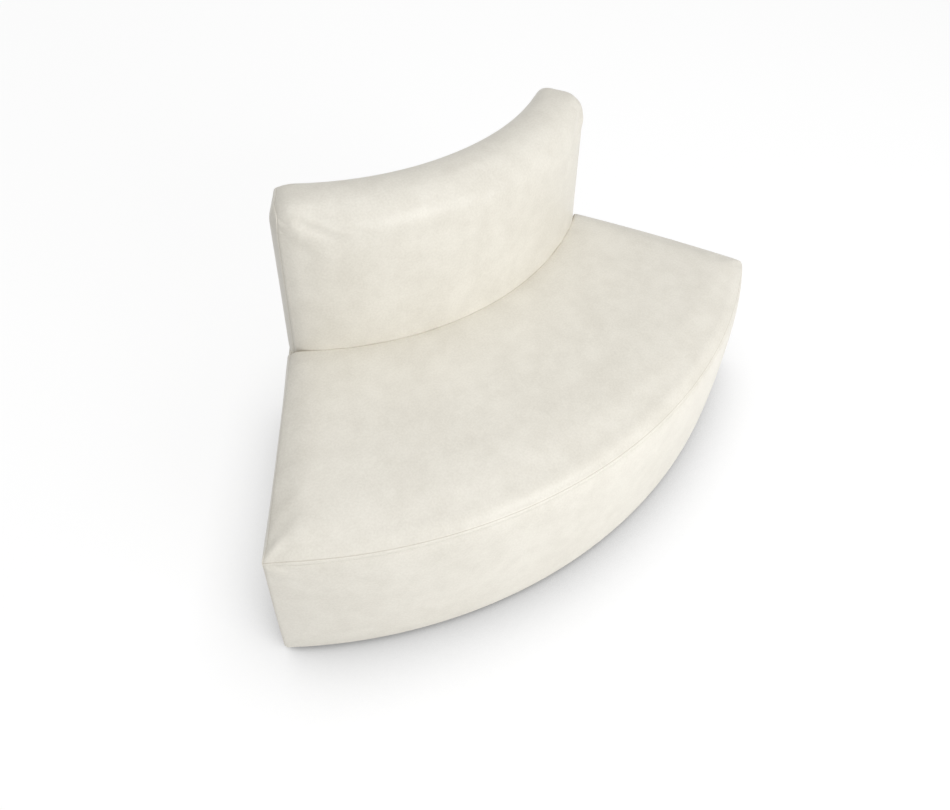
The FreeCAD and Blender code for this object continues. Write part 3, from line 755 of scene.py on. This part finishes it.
class SEATMODULE_OT_backrest(bpy.types.Operator):
    """Make the padded cover of the backrest: rolled top, raked front, ends and rear"""
    bl_idname = "seatmodule.backrest"
    bl_label = "Backrest"

    def execute(self, context):
        sizes = context.scene.backrest_sizes
        groove = context.scene.seat_sizes.groove
        columns = end_columns(BACKREST_NEAR, BACKREST_SPACING, BACKREST_MIDDLE_RADIUS)
        counts = (len(columns) - 1, len(BACKREST_DEPTHS) - 1, len(BACKREST_HEIGHTS) - 1)
        bm = box_lattice(len(columns), len(BACKREST_DEPTHS), len(BACKREST_HEIGHTS))
        numbers = lattice_numbers(bm)
        place_vertices(bm, backrest_points(numbers, columns, sizes))
        piece = as_piece("backrest_upholstery", bm)
        rear_seam = (numbers[:, 1] == 0) & (numbers[:, 2] == REAR_SEAM_ROW)
        ends = end_edges(numbers, counts)
        foot = numbers[:, 2] <= BACKREST_FOOT_ROW
        swell(piece, rear_seam | ends | foot, sizes.swell)
        rear_edge = ends & (numbers[:, 1] == 0)
        # The rear seam and the end edges get painted seam shade along with their pull; the rear edges of
        # the ends get pull only.
        sew(piece, np.select([rear_edge, rear_seam | ends], [0.3, 0.7], 0.0), groove)
        smoothed(piece)
        keep_piece(piece, LEATHERETTE,
                   "backrest_cover_front", "backrest_cover_rear", "backrest_cover_left",
                   "backrest_cover_right", "backrest_foam", "backrest_rear_padding",
                   "backrest_end_padding_left", "backrest_end_padding_right")
        return {"FINISHED"}


def surface_of(name):
    """A search tree of a finished piece's surface."""
    graph = bpy.context.evaluated_depsgraph_get()
    return BVHTree.FromObject(bpy.data.objects[name], graph)


# Where the row of stitches ends, and how a stitch lies on the cover
STITCH_MARGIN = 14 * MM
STITCH_AIM = 30 * MM
STITCH_PROUD = 0.1 * MM
STITCH_BEND = 0.45


def stitch_shape(sizes):
    """One stitch: a short bar of thread with its ends bent down into the cover."""
    bm = bmesh.new()
    bmesh.ops.create_cube(bm, size=1.0)
    bmesh.ops.scale(bm, vec=(sizes.length, sizes.thread, sizes.thread), verts=bm.verts)
    lengthwise = [e for e in bm.edges if abs(e.verts[0].co.x - e.verts[1].co.x) > sizes.length / 2]
    bmesh.ops.subdivide_edges(bm, edges=lengthwise, cuts=3)
    for vertex in bm.verts:
        vertex.co.z -= STITCH_BEND * sizes.thread * (2 * vertex.co.x / sizes.length) ** 2
    mesh = bpy.data.meshes.new("stitch")
    bm.to_mesh(mesh)
    bm.free()
    return mesh


class SEATMODULE_OT_stitches(bpy.types.Operator):
    """Sew the row of stitches along the front band, just under its seam"""
    bl_idname = "seatmodule.stitches"
    bl_label = "Stitches"

    def execute(self, context):
        sizes = context.scene.stitch_sizes
        surface = surface_of("seat_upholstery")
        shape = stitch_shape(sizes)
        bm = bmesh.new()
        height = seam_height(context.scene.seat_sizes) * MM - sizes.drop
        radius = SEAM_RADIUS * MM
        reach = math.radians(HALF_ANGLE) - STITCH_MARGIN / radius
        aim_radius = radius + STITCH_AIM
        count = round(2 * reach * radius / sizes.pitch)
        for k in range(count + 1):
            angle = -reach + 2 * reach * k / count
            aim = Vector((aim_radius * math.sin(angle), AXIS_Y * MM - aim_radius * math.cos(angle), height))
            inward = Vector((-math.sin(angle), math.cos(angle), 0))
            place, normal, _, _ = surface.ray_cast(aim, inward)
            along = Vector((math.cos(angle), math.sin(angle), 0))
            across = normal.cross(along).normalized()
            turn = Matrix((along, across, normal)).transposed().to_4x4()
            first = len(bm.verts)
            bm.from_mesh(shape)
            bm.verts.ensure_lookup_table()
            lay = Matrix.Translation(place + normal * STITCH_PROUD) @ turn
            bmesh.ops.transform(bm, matrix=lay, verts=bm.verts[first:])
        piece = as_piece("front_band_stitches", bm)
        keep_piece(piece, THREAD)
        return {"FINISHED"}


PLYWOOD_NODES = (
    "base_front_panel", "base_rear_panel", "base_riser", "base_end_left", "base_end_right",
    "seat_rib_left", "seat_rib_centre", "seat_rib_right",
    "deck_rib_left", "deck_rib_centre", "deck_rib_right",
    "backrest_deck", "backrest_rear_skin", "backrest_front_skin", "backrest_end_left", "backrest_end_right",
    "backrest_bottom_rail", "backrest_top_rail",
    "backrest_stud_left", "backrest_stud_centre", "backrest_stud_right")
HARDWOOD_NODES = ("foot_blocks", "webbing_rail_front", "webbing_rail_rear")


def dress(material, nodes):
    """Gives solids that show as they are a finish."""
    for name in nodes:
        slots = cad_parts[name].material_slots
        if not slots:
            raise RuntimeError("no material slot on " + name)
        for slot in slots:
            slot.material = material


class SEATMODULE_OT_frame(bpy.types.Operator):
    """Finish the plywood, the hardwood, the webbing and the lining"""
    bl_idname = "seatmodule.frame"
    bl_label = "Frame"

    def execute(self, context):
        ply = timber("bent_plywood", (0.42, 0.29, 0.17), (0.62, 0.46, 0.29), 22.0, (1.0, 1.0, 6.0))
        dress(ply, PLYWOOD_NODES)
        wood = timber("hardwood", (0.33, 0.21, 0.12), (0.52, 0.36, 0.22), 30.0, (1.0, 5.0, 5.0))
        dress(wood, HARDWOOD_NODES)
        dress(strap_webbing(), ("webbing_straps",))
        dress(lining_cloth(), ("dust_cover",))
        return {"FINISHED"}


class SEATMODULE_OT_hardware(bpy.types.Operator):
    """Finish the glides, their nuts and the screws"""
    bl_idname = "seatmodule.hardware"
    bl_label = "Hardware"

    def execute(self, context):
        stems = ["glide_stem_" + place for place in GLIDES]
        dress(moulded_nylon(), ["glide_pad_" + place for place in GLIDES])
        dress(plated_steel(), stems + ["glide_nuts", "backrest_screws"])
        return {"FINISHED"}


class SEATMODULE_OT_covers(bpy.types.Operator):
    """Make the finishes of the leatherette and the thread"""
    bl_idname = "seatmodule.covers"
    bl_label = "Cover finishes"

    def execute(self, context):
        leatherette(context.scene.cover_look)
        sewing_thread(context.scene.cover_look)
        return {"FINISHED"}


# Studio floor and lamps, in metres
FLOOR_HALF = 15.0
FLOOR_SEEN = (0.27, 0.27, 0.27)
FLOOR_GLOW = 0.78
# Reach of the ambient occlusion that paints the floor's contact shadow
PAINTED_SHADOW_REACH = 0.25
DIRECT_RAYS = ("Is Camera Ray", "Is Glossy Ray", "Is Transmission Ray")
KEY_PLACE = (0.5, -4.4, 2.1)
KEY_TARGET = (0.0, 0.0, 0.35)
KEY_SIZE = 3.0
TOP_PLACE = (0.2, -0.3, 7.5)
TOP_TARGET = (0.0, 0.0, 0.0)
TOP_SIZE = 7.0
SENSOR_WIDTH = 36.0


def floor_finish(colour):
    """Pale floor that shows white to the camera and to reflections, keeps the lamps' shadow, and has a
    painted contact shadow where its glow dims near the object.
    """
    finish = Finish("studio_floor")
    rays = finish.node("ShaderNodeLightPath")
    path = rays.socket.node
    seen = [Value(finish, path.outputs[name]) for name in DIRECT_RAYS]
    # Painted contact shadow: ambient occlusion dims the glow that the camera sees near the object.
    openness = finish.node("ShaderNodeAmbientOcclusion", {"samples": 12}, {"Distance": PAINTED_SHADOW_REACH}, "AO")
    glow_with_painted_shadow = finish.ramp(openness, (0.45, 0.22), (0.58, 0.57), (0.68, 0.75), (0.82, 0.90), (1.0, 1.0))
    direct = seen[0] + seen[1] + seen[2]
    tone = finish.mix(direct, colour, FLOOR_SEEN)
    return finish.finish(Base_Color=tone, Roughness=1.0, Specular_IOR_Level=0.0,
                         Emission_Color=glow_with_painted_shadow, Emission_Strength=direct * FLOOR_GLOW)


def add_lamp(name, place, target, size, power):
    """A large square lamp that faces a point."""
    data = bpy.data.lights.new(name, "AREA")
    data.shape = "SQUARE"
    data.size = size
    data.energy = power
    lamp = bpy.data.objects.new(name, data)
    lamp.location = place
    lamp.rotation_euler = (Vector(target) - Vector(place)).to_track_quat("-Z", "Y").to_euler()
    bpy.context.scene.collection.objects.link(lamp)


class SEATMODULE_OT_stage(bpy.types.Operator):
    """Set the floor, the lamps, the even light and the camera"""
    bl_idname = "seatmodule.stage"
    bl_label = "Stage"

    def execute(self, context):
        look = context.scene.studio_look
        bm = bmesh.new()
        bmesh.ops.create_grid(bm, x_segments=1, y_segments=1, size=FLOOR_HALF)
        floor = as_piece("studio_floor", bm)
        floor.data.materials.append(floor_finish(look.floor))
        add_lamp("key", KEY_PLACE, KEY_TARGET, KEY_SIZE, look.key)
        add_lamp("top", TOP_PLACE, TOP_TARGET, TOP_SIZE, look.top)
        self.add_world(context, look)
        context.scene.view_settings.view_transform = "Standard"
        self.add_camera(context, look)
        return {"FINISHED"}

    def add_world(self, context, look):
        """Even light from all round, which the camera sees as white."""
        world = bpy.data.worlds.new("studio")
        world.use_nodes = True
        background = world.node_tree.nodes["Background"]
        background.inputs["Color"].default_value = (1.0, 1.0, 1.0, 1.0)
        rays = world.node_tree.nodes.new("ShaderNodeLightPath")
        strength = world.node_tree.nodes.new("ShaderNodeMath")
        strength.operation = "MULTIPLY_ADD"
        strength.inputs[1].default_value = 1.0 - look.ambient
        strength.inputs[2].default_value = look.ambient
        world.node_tree.links.new(rays.outputs["Is Camera Ray"], strength.inputs[0])
        world.node_tree.links.new(strength.outputs[0], background.inputs["Strength"])
        context.scene.world = world

    def add_camera(self, context, look):
        """The camera at the photograph's place and angle."""
        forward = Vector((math.sin(look.yaw) * math.cos(look.pitch),
                          math.cos(look.yaw) * math.cos(look.pitch), -math.sin(look.pitch)))
        level = Vector((math.cos(look.yaw), -math.sin(look.yaw), 0.0))
        over = level.cross(forward)
        right = level * math.cos(look.roll) + over * math.sin(look.roll)
        up = over * math.cos(look.roll) - level * math.sin(look.roll)
        data = bpy.data.cameras.new("camera")
        data.lens = look.lens
        data.sensor_width = SENSOR_WIDTH
        camera = bpy.data.objects.new("camera", data)
        turn = Matrix((right, up, -forward)).transposed().to_4x4()
        camera.matrix_world = Matrix.Translation(look.place) @ turn
        context.scene.collection.objects.link(camera)
        context.scene.camera = camera


class SEATMODULE_PT_panel(bpy.types.Panel):
    """Makes the module's pieces one by one"""
    bl_idname = "SEATMODULE_PT_panel"
    bl_label = "Seat module"
    bl_space_type = "VIEW_3D"
    bl_region_type = "UI"
    bl_category = "Seat module"

    def draw(self, context):
        for operator in OPERATORS:
            self.layout.operator(operator.bl_idname)


GROUPS = {"seat_sizes": SeatSizes, "backrest_sizes": BackrestSizes, "stitch_sizes": StitchSizes,
          "cover_look": CoverLook, "studio_look": StudioLook}
OPERATORS = (SEATMODULE_OT_covers, SEATMODULE_OT_seat, SEATMODULE_OT_backrest, SEATMODULE_OT_stitches,
             SEATMODULE_OT_frame, SEATMODULE_OT_hardware, SEATMODULE_OT_stage)


def register():
    for cls in (*GROUPS.values(), *OPERATORS, SEATMODULE_PT_panel):
        bpy.utils.register_class(cls)
    for name, group in GROUPS.items():
        setattr(bpy.types.Scene, name, bpy.props.PointerProperty(type=group))


def unregister():
    for name in GROUPS:
        delattr(bpy.types.Scene, name)
    for cls in (SEATMODULE_PT_panel, *reversed(OPERATORS), *reversed(list(GROUPS.values()))):
        bpy.utils.unregister_class(cls)


def main():
    register()
    bpy.ops.seatmodule.covers()
    bpy.ops.seatmodule.seat()
    bpy.ops.seatmodule.backrest()
    bpy.ops.seatmodule.stitches()
    bpy.ops.seatmodule.frame()
    bpy.ops.seatmodule.hardware()
    bpy.ops.seatmodule.stage()


if __name__ == "__main__":
    main()
